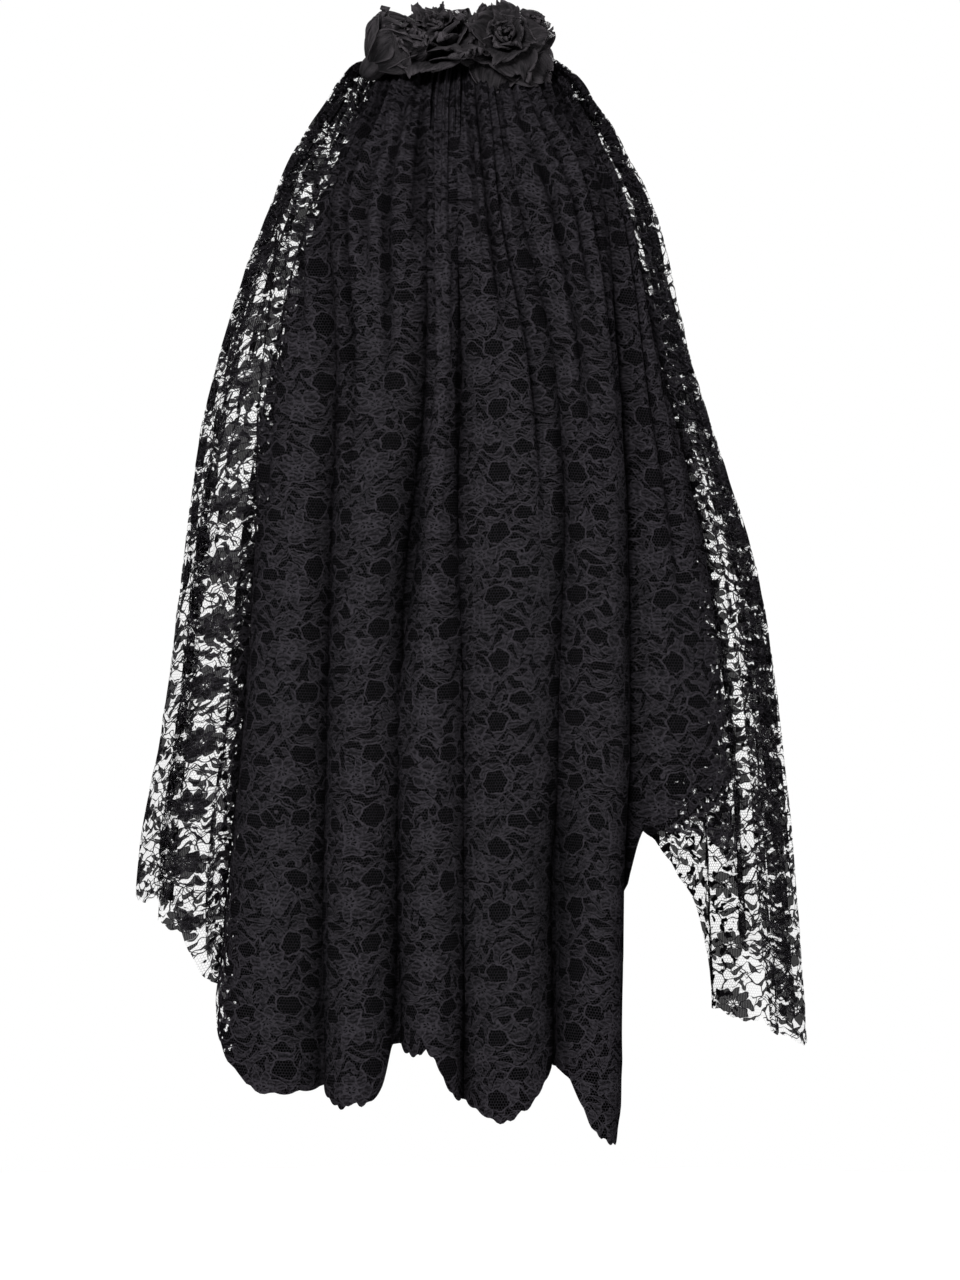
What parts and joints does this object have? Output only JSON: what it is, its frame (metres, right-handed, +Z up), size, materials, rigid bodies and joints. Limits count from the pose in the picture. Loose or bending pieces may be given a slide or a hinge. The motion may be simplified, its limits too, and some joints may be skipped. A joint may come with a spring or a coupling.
{
  "type": "lace veil with headband and cloth roses",
  "caption": "Black floral lace veil gathered on a plain headband, falling all round the head in soft folds to a scalloped hem, with cloth roses over the gathers.",
  "frame": {"origin": "crown of the head that carries it: under the middle of the headband", "axes": "+Z up, -Y towards the front of the veil, +X to the viewer's right"},
  "size_m": [0.4511, 0.3001, 0.7638],
  "materials": {
    "lace": "matte floral lace on a hexagonal net, open between its threads",
    "rose_cloth": "matte woven cloth with a slight sheen and frayed edges",
    "band_cloth": "satin ribbon cloth over a stiff core"
  },
  "bodies": {
    "root": {"headband": "band_cloth", "veil": "lace", "rose_left": "rose_cloth", "rose_centre": "rose_cloth", "rose_right": "rose_cloth"}
  },
  "joints": []
}
